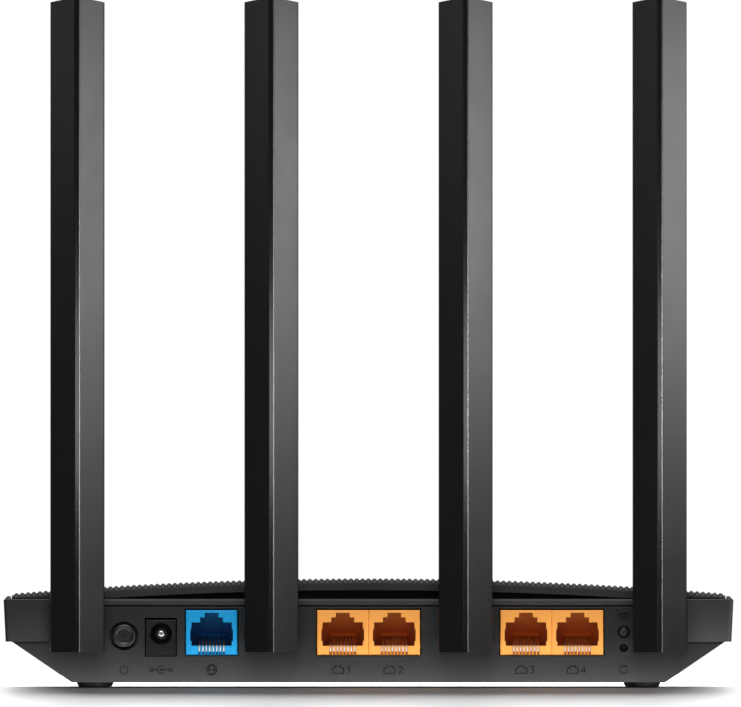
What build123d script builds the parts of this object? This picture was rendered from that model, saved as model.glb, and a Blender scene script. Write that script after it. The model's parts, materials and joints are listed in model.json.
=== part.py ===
from build123d import *
import os
from math import sqrt

# Desktop wireless router with four hinged antennas.
# Frame: +X along the width, -Y towards the rear panel, +Z up, Z = 0 on the surface under the feet.
# All sizes are millimetres.

# ---------------------------------------------------------------- case
BODY_HALF = 107.95         # half width of the rim at its front and top
REAR_TAPER = 1.25          # the rim is this much narrower on each side at the rear
DRAFT = 0.05               # inward lean of the rim's sides per mm of height
REAR_Y = -52.4             # rear face of the rim and its wings
FRONT_Y = 64.6             # front face of the rim
REAR_CORNER = 1.3
FRONT_CORNER = 8.4
RIM_WALL = 2.2
RIM_BOTTOM = 13.5          # parting plane between the two shells
RIM_TOP = 26.9             # top of the rim at the rear face
RIM_CHAMFER = 1.15
SLOPE = 0.07               # fall of every top surface per mm towards the front
FLANGE = 1.4               # thickness of the inward flange at the parting plane
FLANGE_HALF = 99.0
WING_X = 93.1              # inner face of each rear wing
POCKET_HALF = 104.6        # recess that the lid drops into
ROOM_HALF = 103.2          # inside of the rim under the ledge

RAIL_Z = (24.1, 26.0)
RAIL_BEVEL = 0.45
WING_BEVEL = 0.25
WEB_Y = (-50.1, -47.0)     # bar behind the rail, which carries the baffle
WEB_Z = (22.9, 24.7)

LEDGE_Z = 23.6             # top of the ledge under the lid, at the rear face
LEDGE_THICK = 1.7
LEDGE_X = 77.5
LEDGE_Y = (-44.0, 53.5)

FLOOR_Z = 1.6              # underside of the case
FLOOR_HALF = 86.7
FLOOR_FRONT = 44.0
FLARE = 1.47               # growth of the tub per mm of height
SKIN = 1.9
SKIN_SIDE = 3.4            # the same skin measured level through a sloping side
PANEL_Y = -51.8            # outer face of the rear panel
PANEL_THICK = 1.6
PANEL_TOP = 23.65
PANEL_HALF = 92.85
INNER_Y = PANEL_Y + PANEL_THICK

# ---------------------------------------------------------------- lid
CREST_Z = 32.0             # rib crests above the centre of the rear edge
ARCH_RADIUS = 1232.0
COVER_HALF = 104.3
COVER_REAR = -51.9
COVER_FRONT = 36.0
COVER_ROLL = 1.3           # height and length of the rolled rear edge
COVER_SKIRT = 3.5          # rib crest to lower edge
COVER_LOW = 26.35          # lowest point of the rear edge, just above the rail
COVER_SKIN = 2.25          # rib crest to the inside of the lid
SKIRT_WIDTH = 1.9
RIB_PITCH = 1.715
RIB_DEPTH = 0.56
RIB_FLAT = 0.42
RIBS_EACH_SIDE = 60
STRIP_REAR = 36.4          # smooth front strip
STRIP_FRONT = 62.2
STRIP_DROP = 0.3           # strip surface below the rib crests
STRIP_ROLL = 2.3
CLIP_X = 89.0
CLIP_YS = (-27.0, 22.0)
CLIP_R = 1.4
BAFFLE_Y = (-48.6, -47.4)
BAFFLE_HALF = 86.0

# ---------------------------------------------------------------- rear panel fittings
BOARD_Z = (7.95, 9.55)
JACK_HALF = 7.5
JACK_Z = (9.55, 22.7)
JACK_Y = (-52.3, -32.8)
JACK_GAP = 0.35            # window clearance beside a socket
JACK_GAP_TOP = 0.5
CAVITY_BACK = -39.2
WAN_X = -45.85
LAN_XS = (-7.53, 7.53, 46.0, 61.06)
CONTACT_PITCH = 1.02
CONTACT_WIDE = 0.36
SLOT_WIDE = 0.7
# Steps of a socket opening: half width, then bottom and top above the underside of the socket
OPENING_STEPS = ((5.9, 2.75, 9.6), (6.25, 4.1, 7.6), (3.35, 9.5, 11.05), (2.0, 11.0, 12.4))
CARRIER_Y = -42.0          # front of the block that holds the contacts' ends
CARRIER_HALF = 4.15
CARRIER_TOP = 6.65
CARRIER_BEVEL = 0.7

DC_X = -60.6
DC_Z = 15.8
DC_BORE = 3.2
DC_PIN = 1.0
DC_COLLAR = 1.65
DC_WINDOW_X = (-65.4, -56.0)
DC_WINDOW_Z = (9.1, 20.5)
DC_GAP = 0.35
DC_FACE = -51.4
DC_BACK = -39.3
DC_BORE_END = -42.0

POWER_X = -71.45
POWER_Z = 15.2
POWER_HOLE = 4.2
POWER_CAP = 3.38
POWER_DISH = 2.5           # radius of the sunk face of the cap
WPS_X = 74.55
WPS_Z = 16.35
WPS_HOLE = 1.83
WPS_CAP = 1.3
RESET_Z = 11.7
RESET_HOLE = 1.24

# ---------------------------------------------------------------- antennas
ANTENNA_XS = (-85.0, -28.35, 28.35, 85.0)
ANT_HALF = 7.88
ANT_FRONT = -53.3
ANT_SIDE = -58.9           # where the slanted faces start
ANT_REAR = -64.6
RIDGE_HALF = 0.73
ANT_BOTTOM = 10.45
ANT_TOP = 201.5            # top of the ridge
ANT_TOP_FALL = 1.3         # fall of the roof from the ridge to the sides
ANT_WALL = 1.3
ANT_TOP_WALL = 3.0
HOLLOW_BOTTOM = 26.2
LID_HALF = 6.4
LID_THICK = 1.3
AXIS_Z = 15.8              # height of swivel axis and tilt axis
TILT_Y = -58.3
HEEL_R = 5.35              # rounded heel, so the antenna clears the panel as it tilts
TONGUE_HALF = 2.35
TONGUE_R = 3.2
SLOT_HALF = 2.55
SLOT_R = 3.55
PIN_R = 1.1
PIN_HALF = 6.1
RUNNING = 0.05             # radial clearance of pins and turrets
TURRET_R = 4.7
TURRET_FLANGE_R = 5.15
TURRET_Y = (-52.5, -51.2)
TURRET_END = -44.4
BOSS_R = 6.5
BOSS_Y = -46.8
GROOVE_R = 3.75
KEEPER_THICK = 1.1
LEAD_R = 0.6
LEAD_BORE = 1.5
LEAD_TURN_Y = -35.3        # where the antenna leads turn towards their sockets on the board
SOCKET_Y = -26.2
SOCKET_INSET = 7.0         # least distance of those sockets from the board's ends

# ---------------------------------------------------------------- board, feet and screws
BOARD_HALF = 77.5
BOARD_REAR = -49.8
BOARD_FRONT = 26.0
BOARD_SCREWS = ((-61.5, -26.0), (61.5, -26.0), (-61.5, 21.0), (61.5, 21.0))
FOOT_XS = (-80.4, 80.4)
FOOT_YS = (-41.2, 35.5)
FOOT_TOP_R = 5.05
FOOT_BOTTOM_R = 4.4
FOOT_SINK = 0.5
SCREW_X = 81.3
SCREW_YS = (-30.5, 23.0)
POST_Z = 6.9               # where the screw posts of the two shells meet
KEYHOLE_X = 62.5
KEYHOLE_Y = 36.0
KEYHOLE_R = 4.0
KEYHOLE_SLOT = 1.9         # half width of the slot
KEYHOLE_RUN = 9.0
VENT_PITCH = 5.6
VENT_YS = (-18.0, -3.5, 11.0)

LED_XS = (-21.0, -12.6, -4.2, 4.2, 12.6, 21.0)
LED_Y = 45.5
LED_BOARD_Z = (14.0, 15.2)
PIPE_Z = (17.3, 18.9)
PIPE_HALF = 26.2
PIPE_PIN_X = 24.8
PIPE_PIN_Y = LED_Y + 2.8
PIPE_PIN_R = 0.85

FAR = 150                  # beyond every part of the router
LOW = -10
HIGH = 60

parts = {}


# ---------------------------------------------------------------- shape helpers
def block(x, y, z):
    """Box between two values along each axis."""
    ranges = (x, y, z)
    size = [abs(b - a) for a, b in ranges]
    middle = [(a + b) / 2 for a, b in ranges]
    return Pos(*middle) * Box(*size)


def rod_x(y, z, radius, x):
    return Pos((x[0] + x[1]) / 2, y, z) * Rot(0, 90, 0) * Cylinder(radius, x[1] - x[0])


def rod_y(x, z, radius, y):
    return Pos(x, (y[0] + y[1]) / 2, z) * Rot(90, 0, 0) * Cylinder(radius, y[1] - y[0])


def rod_z(x, y, radius, z):
    return Pos(x, y, (z[0] + z[1]) / 2) * Cylinder(radius, z[1] - z[0])


def push(face, move):
    """Prism swept by a face along a straight move, level or slanted."""
    return Part([Solid.extrude(face, Vector(*move))])


def prism_x(points, x):
    outline = Polyline(*[(x[0], y, z) for y, z in points], close=True)
    return push(make_face(outline).face(), (x[1] - x[0], 0, 0))


def prism_y(points, y):
    outline = Polyline(*[(x, y[0], z) for x, z in points], close=True)
    return push(make_face(outline).face(), (0, y[1] - y[0], 0))


def prism_z(points, z):
    outline = Polyline(*[(x, y, z[0]) for x, y in points], close=True)
    return push(make_face(outline).face(), (0, 0, z[1] - z[0]))


def merge(shapes):
    """One part from many shapes."""
    shapes = list(shapes)
    return shapes[0] + shapes[1:]


def group(shapes):
    """Separate solids kept side by side in one part."""
    return Compound([solid for shape in shapes for solid in shape.solids()])


def at_x(x, shape):
    return Pos(x, 0, 0) * shape


def both(x):
    """Range from -x to +x."""
    return (-x, x)


def tilted(z_rear, y):
    """Height at y of a plane that is z_rear high at the rear face."""
    return z_rear - SLOPE * (y - REAR_Y)


def beside_plane(z_rear, end):
    """Everything between a tilted plane and a level far below or above it."""
    y0, y1 = REAR_Y - 20, FRONT_Y + 20
    points = [(y0, tilted(z_rear, y0)), (y1, tilted(z_rear, y1)), (y1, end), (y0, end)]
    return prism_x(points, both(FAR))


# ---------------------------------------------------------------- arched lid
def arch_drop(x):
    return ARCH_RADIUS - sqrt(ARCH_RADIUS ** 2 - x ** 2)


def arch_arc(y, z_middle, half):
    """Arc across the lid, z_middle high at the centre."""
    ends = z_middle - arch_drop(half)
    return ThreePointArc((half, y, ends), (0, y, z_middle), (-half, y, ends))


def arch_face(y, z_top, z_bottom, half):
    """Arched band of the lid's section, in the plane at y."""
    top = arch_arc(y, z_top, half)
    bottom = arch_arc(y, z_bottom, half)
    left = Line(top @ 1, bottom @ 1)
    right = Line(bottom @ 0, top @ 0)
    return make_face([top, left, bottom, right]).face()


def arch_plate(y, z_top, z_bottom, half):
    """Arched plate between two stations, falling towards the front."""
    run = y[1] - y[0]
    return push(arch_face(y[0], z_top, z_bottom, half), (0, run, -SLOPE * run))


def ribbed_face(y, z_bottom):
    """Section of the lid with its ribs."""
    points = []
    for i in range(-RIBS_EACH_SIDE, RIBS_EACH_SIDE + 1):
        x = i * RIB_PITCH
        root = x - RIB_PITCH / 2
        crest = CREST_Z - arch_drop(x)
        points.append((root, y, CREST_Z - RIB_DEPTH - arch_drop(root)))
        points.append((x - RIB_FLAT / 2, y, crest))
        points.append((x + RIB_FLAT / 2, y, crest))
    last_root = (RIBS_EACH_SIDE + 0.5) * RIB_PITCH
    edge_z = CREST_Z - RIB_DEPTH - arch_drop(COVER_HALF)
    points.append((last_root, y, CREST_Z - RIB_DEPTH - arch_drop(last_root)))
    points.append((COVER_HALF, y, edge_z))
    points.insert(0, (-COVER_HALF, y, edge_z))
    bottom = arch_arc(y, z_bottom, COVER_HALF)
    edges = [Polyline(*points), Line(points[-1], bottom @ 0), bottom, Line(bottom @ 1, points[0])]
    return make_face(edges).face()


def make_top_cover():
    mitre = COVER_REAR + COVER_ROLL
    low = CREST_Z - COVER_SKIRT
    section = ribbed_face(mitre, low)
    run = COVER_FRONT - mitre
    lid = push(section, (0, run, -SLOPE * run)) + push(section, (0, -COVER_ROLL, -COVER_ROLL))
    lid -= arch_plate((COVER_REAR - 1, mitre), low + SLOPE * (COVER_ROLL + 1), low - 6, COVER_HALF + 2)
    inner_rear = COVER_REAR + SKIRT_WIDTH
    inner_top = CREST_Z - COVER_SKIN - SLOPE * (inner_rear - mitre)
    inside = (inner_rear, COVER_FRONT - SKIRT_WIDTH)
    lid -= arch_plate(inside, inner_top, inner_top - 8, COVER_HALF - SKIRT_WIDTH)
    lid -= block(both(FAR), (COVER_REAR - 1, INNER_Y + 0.3), (LOW, COVER_LOW))
    for y in CLIP_YS:
        for x in both(CLIP_X):
            skin = CREST_Z - COVER_SKIN - SLOPE * (y - mitre) - arch_drop(x)
            lid += rod_z(x, y, CLIP_R, (tilted(LEDGE_Z, y) - LEDGE_THICK - 1, skin + 0.6))
    return lid


def strip_top(y):
    """Height of the smooth strip above the centre line."""
    return CREST_Z - STRIP_DROP - SLOPE * (y - COVER_REAR - COVER_ROLL)


def led_window(x, z, grow=0.0):
    return block((x - 1.9 - grow, x + 1.9 + grow), (LED_Y - 0.55 - grow, LED_Y + 0.55 + grow), z)


def make_front_panel():
    roll_y = STRIP_FRONT - STRIP_ROLL
    plate = arch_plate((STRIP_REAR, roll_y), strip_top(STRIP_REAR), strip_top(STRIP_REAR) - SKIN, COVER_HALF)
    apron_low = tilted(LEDGE_Z, STRIP_FRONT) + 0.2
    nose = arch_face(roll_y, strip_top(roll_y), strip_top(roll_y) - 13, COVER_HALF)
    apron = push(nose, (0, STRIP_ROLL, -STRIP_ROLL))
    apron &= block(both(FAR), (roll_y, STRIP_FRONT), (apron_low, HIGH))
    corners = Pos(0, (REAR_Y + STRIP_FRONT) / 2) * RectangleRounded(
        2 * COVER_HALF, STRIP_FRONT - REAR_Y, FRONT_CORNER - RIM_WALL)
    panel = (plate + apron) & push(corners.face(), (0, 0, HIGH))
    panel -= [led_window(x, (14, HIGH), 0.1) for x in LED_XS]
    for x in both(PIPE_PIN_X):
        panel += rod_z(x, PIPE_PIN_Y, PIPE_PIN_R, (PIPE_Z[0], strip_top(PIPE_PIN_Y) - 1.4))
    return panel


def make_light_pipe():
    bar = block(both(PIPE_HALF), (LED_Y - 1.3, LED_Y + 4.1), PIPE_Z)
    pipe = bar + [led_window(x, (PIPE_Z[1], HIGH)) for x in LED_XS]
    top = strip_top(STRIP_REAR) - 0.05
    pipe &= arch_plate((STRIP_REAR, STRIP_FRONT), top, top - 24, PIPE_HALF + 2)
    pipe -= [rod_z(x, PIPE_PIN_Y, PIPE_PIN_R, (14, 24)) for x in both(PIPE_PIN_X)]
    return pipe


# ---------------------------------------------------------------- case shells
def rim_section(level):
    """Plan of the rim at one height: a little narrower at the rear and lower down."""
    half = BODY_HALF - DRAFT * (RIM_TOP - level)
    rear_half = half - REAR_TAPER
    corners = [(-rear_half, REAR_Y), (rear_half, REAR_Y), (half, FRONT_Y), (-half, FRONT_Y)]
    plan = make_face(Polyline(*corners, close=True))
    plan = fillet(plan.vertices().filter_by(lambda v: v.Y < 0), REAR_CORNER)
    plan = fillet(plan.vertices().filter_by(lambda v: v.Y > 0), FRONT_CORNER)
    return Pos(0, 0, level) * plan


def inner_prism(half, front, z):
    """Upright prism inside the rim, from the back of its rear wall."""
    plan = Pos(0, (INNER_Y + front) / 2) * Rectangle(2 * half, front - INNER_Y)
    plan = fillet(plan.vertices().filter_by(lambda v: v.Y > 0), FRONT_CORNER - RIM_WALL)
    return push(Pos(0, 0, z[0]) * plan.face(), (0, 0, z[1] - z[0]))


def make_upper_shell():
    shell = loft([rim_section(RIM_BOTTOM), rim_section(RIM_TOP + 8)], ruled=True)
    shell &= beside_plane(RIM_TOP, LOW)
    top = shell.faces().filter_by(lambda f: f.normal_at().Z > 0.9).sort_by(Axis.Z)[-1]
    shell = chamfer(top.edges(), RIM_CHAMFER)

    shell -= inner_prism(POCKET_HALF, FRONT_Y - RIM_WALL + 0.1, (LOW, HIGH)) & beside_plane(LEDGE_Z, HIGH)
    room = inner_prism(ROOM_HALF, FRONT_Y - RIM_WALL - 1, (RIM_BOTTOM + FLANGE, HIGH))
    shell -= room & beside_plane(LEDGE_Z - LEDGE_THICK, LOW)
    shell -= block(both(LEDGE_X), LEDGE_Y, (LOW, HIGH))
    shell -= block(both(ROOM_HALF), (INNER_Y, LEDGE_Y[0]), (RIM_BOTTOM + FLANGE, HIGH))
    shell -= block(both(FLANGE_HALF), (BOSS_Y, FRONT_Y - 8), (LOW, RIM_BOTTOM + FLANGE + 0.1))

    shell -= block(both(WING_X), (REAR_Y - 1, BOSS_Y), (LOW, RAIL_Z[0]))
    shell -= block(both(POCKET_HALF), (REAR_Y - 1, INNER_Y + 0.4), (RAIL_Z[1], HIGH))
    low_bevel = [(REAR_Y, RAIL_Z[0]), (REAR_Y + RAIL_BEVEL, RAIL_Z[0]), (REAR_Y, RAIL_Z[0] + RAIL_BEVEL)]
    shell -= prism_x(low_bevel, both(WING_X))
    for half, size in ((WING_X, RAIL_BEVEL), (POCKET_HALF, WING_BEVEL)):
        bevel = [(REAR_Y, RAIL_Z[1]), (REAR_Y + size, RAIL_Z[1]), (REAR_Y, RAIL_Z[1] - size)]
        shell -= prism_x(bevel, both(half))
    shell += block(both(WING_X + 1), WEB_Y, WEB_Z)
    shell += block(both(WING_X + 1), (REAR_Y + 1, WEB_Y[1]), (RAIL_Z[0], WEB_Z[1]))

    for x in both(SCREW_X):
        for y in SCREW_YS:
            shell += rod_z(x, y, 3.0, (POST_Z, tilted(LEDGE_Z, y) - LEDGE_THICK + 0.2))
            shell -= rod_z(x, y, 1.1, (POST_Z, 14.4))
    shell -= [rod_z(x, y, CLIP_R + 0.1, (10, 30)) for x in both(CLIP_X) for y in CLIP_YS]
    return shell


def tub(inset, z):
    """Tapered tub between two heights, its sides moved inwards by inset."""
    sections = []
    for level in z:
        grow = (level - FLOOR_Z) * FLARE - inset
        half, front = FLOOR_HALF + grow, FLOOR_FRONT + grow
        rear = REAR_Y - 30
        plan = Pos(0, (front + rear) / 2, level) * RectangleRounded(2 * half, front - rear, 6.5)
        sections.append(plan)
    return loft(sections, ruled=True)


def keyhole(x):
    """Wall-mount cut-out: a round entry and a narrow slot towards the antennas."""
    depth = (FLOOR_Z - 1, FLOOR_Z + SKIN + 1)
    end = KEYHOLE_Y - KEYHOLE_RUN
    slot = block((x - KEYHOLE_SLOT, x + KEYHOLE_SLOT), (end, KEYHOLE_Y), depth)
    return rod_z(x, KEYHOLE_Y, KEYHOLE_R, depth) + slot + rod_z(x, end, KEYHOLE_SLOT, depth)


def floor_vents():
    """Cooling slots in the floor, in three rows."""
    slots = []
    for row, y in enumerate(VENT_YS):
        for i in range(-9, 10):
            if row != 1 or abs(i) > 2:
                x = i * VENT_PITCH
                slots.append(block((x - 1.0, x + 1.0), (y - 4.6, y + 4.6), (0, FLOOR_Z + SKIN + 1)))
    return slots


def make_lower_shell():
    """Floor and flared sides, closed at the rear by the rear panel."""
    shell = tub(0, (FLOOR_Z, RIM_BOTTOM)) & block(both(FAR), (INNER_Y, FRONT_Y), (LOW, HIGH))
    shell -= tub(SKIN_SIDE, (FLOOR_Z + SKIN, RIM_BOTTOM + 1))
    for x, y in BOARD_SCREWS:
        shell += rod_z(x, y, 3.0, (FLOOR_Z + SKIN - 0.5, BOARD_Z[0]))
        shell -= rod_z(x, y, 0.95, (FLOOR_Z + 1.1, BOARD_Z[0] + 1))
    for x in both(24.3):
        shell += rod_z(x, LED_Y - 2.3, 1.9, (FLOOR_Z + SKIN - 0.5, LED_BOARD_Z[0]))
    for x in both(SCREW_X):
        for y in SCREW_YS:
            shell += rod_z(x, y, 4.1, (FLOOR_Z, POST_Z))
            shell -= rod_z(x, y, 2.6, (FLOOR_Z - 1, 4.7))
            shell -= rod_z(x, y, 1.25, (FLOOR_Z - 1, 8.0))
    for x in FOOT_XS:
        shell -= [rod_z(x, y, FOOT_TOP_R, (FLOOR_Z - 1, FLOOR_Z + FOOT_SINK)) for y in FOOT_YS]
    for x in both(KEYHOLE_X):
        shell -= keyhole(x)
    shell -= floor_vents()
    shell -= block(both(34), (22, 40), (FLOOR_Z - 1, FLOOR_Z + 0.3))
    return shell


def make_rear_panel():
    """Plate that closes the rear, with the windows for sockets and buttons and a bearing for each antenna."""
    flare_half = FLOOR_HALF + FLARE * (RIM_BOTTOM - FLOOR_Z)
    right = [(FLOOR_HALF, FLOOR_Z), (flare_half, RIM_BOTTOM)]
    right += [(PANEL_HALF, RIM_BOTTOM), (PANEL_HALF, PANEL_TOP)]
    left = [(-x, z) for x, z in reversed(right)]
    panel = prism_y(right + left, (PANEL_Y, INNER_Y))
    for x in ANTENNA_XS:
        panel += rod_y(x, AXIS_Z, BOSS_R, (INNER_Y - 0.5, BOSS_Y))
    for x in ANTENNA_XS:
        panel -= rod_y(x, AXIS_Z, TURRET_R + RUNNING, (PANEL_Y - 1, BOSS_Y + 1))
        panel -= rod_y(x, AXIS_Z, TURRET_FLANGE_R + 0.15, (PANEL_Y - 1, TURRET_Y[1] + 0.02))

    through = (PANEL_Y - 1, INNER_Y + 1)
    width = JACK_HALF + JACK_GAP
    for x in (WAN_X, *LAN_XS):
        panel -= block((x - width, x + width), through, (JACK_Z[0] - 0.1, JACK_Z[1] + JACK_GAP_TOP))
    panel -= block(DC_WINDOW_X, through, DC_WINDOW_Z)
    panel -= rod_y(POWER_X, POWER_Z, POWER_HOLE, through)
    panel -= rod_y(WPS_X, WPS_Z, WPS_HOLE, through)
    panel -= rod_y(WPS_X, RESET_Z, RESET_HOLE, through)
    return panel


def make_rear_baffle():
    """Thin upright wall that closes the gap between the rail and the lid."""
    under = CREST_Z - COVER_SKIN - SLOPE * (BAFFLE_Y[1] - COVER_REAR - COVER_ROLL) - 0.1
    wall = arch_plate(BAFFLE_Y, under, under - 11, BAFFLE_HALF)
    return wall & block(both(BAFFLE_HALF), BAFFLE_Y, (WEB_Z[1], HIGH))


# ---------------------------------------------------------------- sockets and contacts
def contact_spots():
    return [(i - 3.5) * CONTACT_PITCH for i in range(8)]


def make_jack(x):
    """RJ45 housing with its latch uppermost and a slotted block at the back for the contacts."""
    z0 = JACK_Z[0]
    housing = block(both(JACK_HALF), JACK_Y, JACK_Z)
    housing = chamfer(housing.edges().group_by(Axis.Y)[0], 0.25)
    for half, low, high in OPENING_STEPS:
        housing -= block(both(half), (JACK_Y[0] - 1, CAVITY_BACK), (z0 + low, z0 + high))
    bottom = OPENING_STEPS[0][1]
    carrier = block(both(CARRIER_HALF), (CARRIER_Y, CAVITY_BACK + 0.5), (z0 + bottom - 0.5, z0 + CARRIER_TOP))
    edges = carrier.edges().group_by(Axis.Y)[0].sort_by(Axis.Z)[1:]
    housing += chamfer(edges, CARRIER_BEVEL)
    for middle in contact_spots():
        slot = (middle - SLOT_WIDE / 2, middle + SLOT_WIDE / 2)
        housing -= block(slot, (JACK_Y[0] - 1, JACK_Y[0] + 5), (z0 + 0.2, z0 + bottom + 0.1))
        slot_top = z0 + CARRIER_TOP - CARRIER_BEVEL - 0.2
        housing -= block(slot, (CARRIER_Y - 1, CARRIER_Y + 1.6), (z0 + bottom, slot_top))
    return at_x(x, housing)


def make_contacts(x):
    """Eight spring wires: upright in the mouth of a socket, then bent over and up to the block behind."""
    z0 = JACK_Z[0]
    front = JACK_Y[0] + 0.3
    tip = CARRIER_Y + 1.2
    wire = [(front, z0 + 1.1), (front, z0 + 2.35), (front + 0.5, z0 + 2.85), (tip, z0 + 5.2),
            (tip, z0 + 4.8), (front + 0.65, z0 + 2.45), (front + 0.35, z0 + 2.15), (front + 0.35, z0 + 1.1)]
    half = CONTACT_WIDE / 2
    return [prism_x(wire, (x + spot - half, x + spot + half)) for spot in contact_spots()]


def make_dc_jack():
    x = (DC_WINDOW_X[0] + DC_GAP, DC_WINDOW_X[1] - DC_GAP)
    low, top = DC_WINDOW_Z[0] + DC_GAP, DC_WINDOW_Z[1] - DC_GAP
    housing = block(x, (DC_FACE, DC_BACK), (BOARD_Z[1], top)) + block(x, (DC_FACE, INNER_Y + 0.3), (low, top))
    housing = chamfer(housing.edges().group_by(Axis.Y)[0].sort_by(Axis.Z)[-1], 0.45)
    housing -= rod_y(DC_X, DC_Z, DC_BORE, (DC_FACE - 1, DC_BORE_END))
    housing -= block((DC_X - 1.1, DC_X + 1.1), (DC_FACE + 2.5, DC_BORE_END), (DC_Z - DC_BORE - 1.2, DC_Z))
    return housing


def make_dc_pin():
    """Centre pin, round-nosed, standing in a low collar."""
    pin = rod_y(DC_X, DC_Z, DC_PIN, (DC_FACE + 0.7, DC_BORE_END))
    pin = fillet(pin.edges().group_by(Axis.Y)[0], 0.5)
    collar = rod_y(DC_X, DC_Z, DC_COLLAR, (DC_BORE_END - 3.2, DC_BORE_END))
    collar -= rod_y(DC_X, DC_Z, 1.35, (DC_BORE_END - 4, DC_BORE_END - 0.8))
    return pin + collar


def make_dc_spring():
    z = DC_Z - DC_BORE
    y = (DC_FACE + 2.6, DC_BORE_END)
    leaf = [(y[0], z - 0.9), (y[0], z - 0.5), (y[1], z - 0.1), (y[1], z - 0.5)]
    return prism_x(leaf, (DC_X - 0.9, DC_X + 0.9))


# ---------------------------------------------------------------- buttons and switches
def make_power_button():
    cap = rod_y(POWER_X, POWER_Z, POWER_CAP, (-52.7, INNER_Y + 0.1))
    cap = fillet(cap.edges().group_by(Axis.Y)[0], 0.5)
    dish = Rot(90, 0, 0) * Cone(POWER_DISH - 0.4, POWER_DISH + 0.4, 0.8)
    cap -= Pos(POWER_X, -52.7, POWER_Z) * dish
    collar = rod_y(POWER_X, POWER_Z, 4.7, (INNER_Y + 0.05, -49.25))
    stem = rod_y(POWER_X, POWER_Z, 1.5, (-49.3, -43.2))
    return cap + collar + stem


def make_power_switch():
    body = block((POWER_X - 3.9, POWER_X + 3.9), (-46.9, -37.0), (BOARD_Z[1], 19.1))
    return body - rod_y(POWER_X, POWER_Z, 1.65, (-47.9, -41.1))


def make_wps_button():
    cap = rod_y(WPS_X, WPS_Z, WPS_CAP, (-52.4, INNER_Y + 0.1))
    cap = fillet(cap.edges().group_by(Axis.Y)[0], 0.25)
    collar = rod_y(WPS_X, WPS_Z, 2.15, (INNER_Y + 0.05, -49.45))
    stem = rod_y(WPS_X, WPS_Z, 0.85, (-49.5, -46.8))
    return cap + collar + stem


def make_reset_plunger():
    return rod_y(WPS_X, RESET_Z, 0.94, (-49.8, -46.8))


def make_small_switches():
    """Reset switch on the board, and the WPS switch held above it by its own bent foot."""
    width = (WPS_X - 2.6, WPS_X + 2.6)
    side = [(-47.7, 14.2), (-47.7, 18.5), (-40.7, 18.5), (-40.7, BOARD_Z[1]),
            (-43.2, BOARD_Z[1]), (-43.2, 14.2)]
    wps = prism_x(side, width) - rod_y(WPS_X, WPS_Z, 0.92, (-48.7, -46.0))
    reset = block(width, (-47.7, -44.4), (BOARD_Z[1], 14.0)) - rod_y(WPS_X, RESET_Z, 1.02, (-48.7, -46.0))
    return group([wps, reset])


# ---------------------------------------------------------------- antennas
def antenna_plan(inset=0.0):
    """Section of an antenna: flat front, upright sides, two slants and a narrow ridge."""
    half = ANT_HALF - inset
    rear = ANT_REAR + inset
    return [(-half, ANT_FRONT), (half, ANT_FRONT), (half, ANT_SIDE + inset / 2), (RIDGE_HALF, rear),
            (-RIDGE_HALF, rear), (-half, ANT_SIDE + inset / 2)]


def make_antenna_shell(x):
    wide = both(ANT_HALF + 2)
    lid_top = ANT_TOP - ANT_TOP_WALL
    body = prism_z(antenna_plan(), (ANT_BOTTOM, ANT_TOP))
    eaves = ANT_TOP - ANT_TOP_FALL
    roof = [(ANT_REAR - 1, ANT_TOP), (ANT_REAR, ANT_TOP), (ANT_SIDE, eaves), (ANT_FRONT + 1, eaves),
            (ANT_FRONT + 1, ANT_TOP + 5), (ANT_REAR - 1, ANT_TOP + 5)]
    body -= prism_x(roof, wide)
    hollow = block(wide, (ANT_REAR, ANT_FRONT - LID_THICK), (HOLLOW_BOTTOM, lid_top))
    body -= prism_z(antenna_plan(ANT_WALL), (HOLLOW_BOTTOM, lid_top)) & hollow
    body -= block(both(LID_HALF), (ANT_FRONT - LID_THICK, ANT_FRONT + 1), (HOLLOW_BOTTOM - 2, lid_top))

    heel = block(wide, (TILT_Y, ANT_FRONT + 1), (ANT_BOTTOM - 1, AXIS_Z))
    body -= heel - rod_x(TILT_Y, AXIS_Z, HEEL_R, wide)
    body -= block(both(SLOT_HALF), (TILT_Y - SLOT_R, ANT_FRONT + 1), (ANT_BOTTOM - 1, AXIS_Z + SLOT_R))
    body -= rod_x(TILT_Y, AXIS_Z, PIN_R + RUNNING, both(PIN_HALF + 0.1))
    body -= rod_z(0, TILT_Y, LEAD_BORE, (AXIS_Z, HOLLOW_BOTTOM + 1))
    return at_x(x, body)


def make_antenna_cover(x):
    edge = 0.1
    lid = block(both(LID_HALF - edge), (ANT_FRONT - LID_THICK, ANT_FRONT),
                (HOLLOW_BOTTOM - 2 + edge, ANT_TOP - ANT_TOP_WALL - edge))
    return at_x(x, lid)


def make_antenna_element(x):
    """Radiator strip with a sleeve and the lead that feeds it."""
    y = ANT_FRONT - LID_THICK - 1.1
    lead_y = TILT_Y + 0.4
    strip = block(both(3.0), (y - 0.4, y + 0.4), (56, 178))
    strip -= [block(both(1.5), (y - 1, y + 1), (z, z + 20.5)) for z in (65, 94, 131)]
    lead = rod_z(0, lead_y, LEAD_R, (HOLLOW_BOTTOM + 1.5, 121.5))
    sleeve = rod_z(0, lead_y, 1.2, (110, 116))
    bridge = block(both(0.55), (lead_y, y), (118, 121.5))
    return at_x(x, merge([strip, lead, sleeve, bridge]))


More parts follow.
